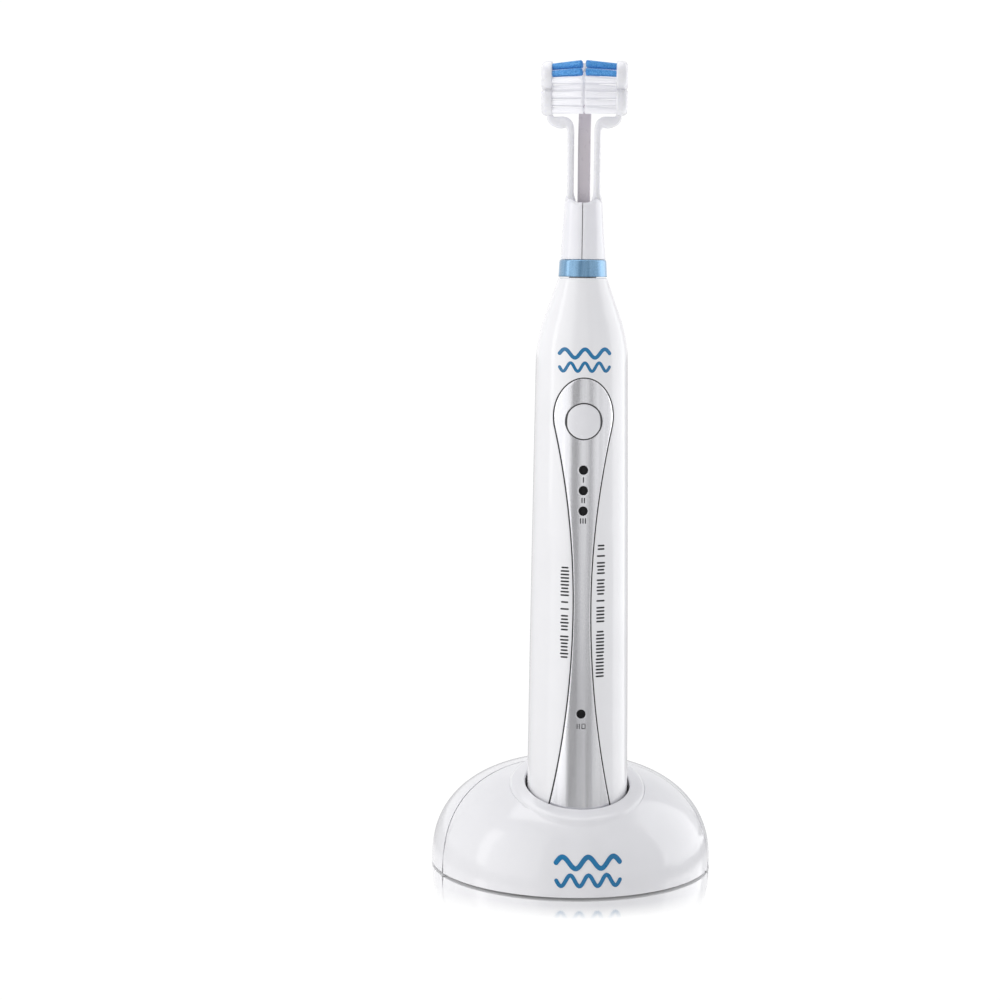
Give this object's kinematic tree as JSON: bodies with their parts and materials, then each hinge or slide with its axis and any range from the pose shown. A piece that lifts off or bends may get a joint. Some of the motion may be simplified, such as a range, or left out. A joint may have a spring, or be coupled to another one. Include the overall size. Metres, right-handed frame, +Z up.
{
  "type": "electric toothbrush on charger",
  "caption": "Slim electric toothbrush with three facing bristle pads on stems, a silver inlay and a push button, standing in the collared well of a domed charging base.",
  "frame": {"origin": "centre of the round charger base, on the table it stands on", "axes": "+Z up along the handle, -Y towards the base's front, where the handle stands; the handle is turned 3.5 degrees in its well towards -X, and its drive and brush head 6 degrees more"},
  "size_m": [0.083, 0.083, 0.2347],
  "materials": {
    "white_gloss": "glossy moulded plastic",
    "grey_plastic": "plain moulded plastic",
    "ivory_plastic": "satin moulded plastic",
    "rubber": "matt",
    "steel": "satin",
    "laminated_iron": "satin",
    "copper": "enamelled winding",
    "board_green": "solder mask",
    "transformer_yellow": "taped",
    "capacitor_blue": "sleeved",
    "black_plastic": "glossy",
    "led": "clear",
    "battery_wrap": "shrink sleeve",
    "bronze": "sintered",
    "silver_inlay": "satin metallic",
    "blue_ring": "pearly metallic blue",
    "pad_white": "slightly translucent",
    "bristle_white": "nylon filament",
    "bristle_blue": "nylon filament"
  },
  "bodies": {
    "charger": {"base_front_cover": "white_gloss", "base_rear_cover": "white_gloss", "collar_ring": "white_gloss", "well_cup": "grey_plastic", "base_plate": "grey_plastic", "foot_pads": "rubber", "base_screws": "steel", "cord_gland": "grey_plastic", "ferrite_core": "laminated_iron", "primary_bobbin": "ivory_plastic", "primary_coil": "copper", "charger_board": "board_green", "supply_transformer": "transformer_yellow", "filter_capacitor": "capacitor_blue", "driver_chip": "black_plastic"},
    "handle": {"handle_housing": "white_gloss", "inlay_panel": "silver_inlay", "end_cap": "white_gloss", "end_cap_seal": "rubber", "inner_frame": "grey_plastic", "control_board": "board_green", "tact_switch": "grey_plastic", "indicator_leds": "led", "mode_lens_1": "black_plastic", "mode_lens_2": "black_plastic", "mode_lens_3": "black_plastic", "charge_lens": "black_plastic", "battery_cell": "battery_wrap", "battery_contact_top": "steel", "battery_contact_bottom": "steel", "secondary_coil": "copper", "motor_can": "steel", "motor_end_plate": "steel", "stator_core": "laminated_iron", "stator_coils": "copper", "front_bearing": "bronze", "rear_bearing": "bronze", "shaft_seal": "rubber"},
    "power_button": {"power_button": "white_gloss", "button_seal": "rubber"},
    "drive": {"drive_shaft": "steel", "rotor_magnet": "laminated_iron"},
    "brush_head": {"neck_left_half": "white_gloss", "neck_right_half": "white_gloss", "neck_ring": "blue_ring", "shaft_clip": "steel", "rear_stem": "ivory_plastic", "rear_pad": "pad_white", "rear_tufts": "bristle_white"},
    "left_arm": {"left_stem": "pad_white", "left_pad": "pad_white", "left_blue_tufts": "bristle_blue", "left_white_tufts": "bristle_white"},
    "right_arm": {"right_stem": "pad_white", "right_pad": "pad_white", "right_blue_tufts": "bristle_blue", "right_white_tufts": "bristle_white"}
  },
  "joints": [
    {"name": "handle_lift", "type": "slide", "parent": "charger", "child": "handle", "axis": [0, 0, 1], "range_m": [0, 0.045]},
    {"name": "button_press", "type": "slide", "parent": "handle", "child": "power_button", "axis": [0.061, 0.9981, 0], "range_m": [0, 0.0006], "stiffness_N_per_m": 1500, "springref_m": -0.0008},
    {"name": "drive_oscillation", "type": "hinge", "parent": "handle", "child": "drive", "pos_m": [0, -0.015, 0.15], "axis": [0, 0, 1], "range_deg": [-5, 5], "stiffness_Nm_per_rad": 0.05},
    {"name": "head_pull_off", "type": "slide", "parent": "drive", "child": "brush_head", "axis": [0, 0, 1], "range_m": [0, 0.02]},
    {"name": "left_arm_flex", "type": "hinge", "parent": "brush_head", "child": "left_arm", "pos_m": [-0.00373, -0.01458, 0.196], "axis": [-0.165, -0.9863, 0], "range_deg": [0, 5], "stiffness_Nm_per_rad": 0.4, "springref_deg": -0.57},
    {"name": "right_arm_flex", "type": "hinge", "parent": "brush_head", "child": "right_arm", "pos_m": [0.00367, -0.01582, 0.196], "axis": [0.165, 0.9863, 0], "range_deg": [0, 5], "stiffness_Nm_per_rad": 0.4, "springref_deg": -0.57}
  ]
}
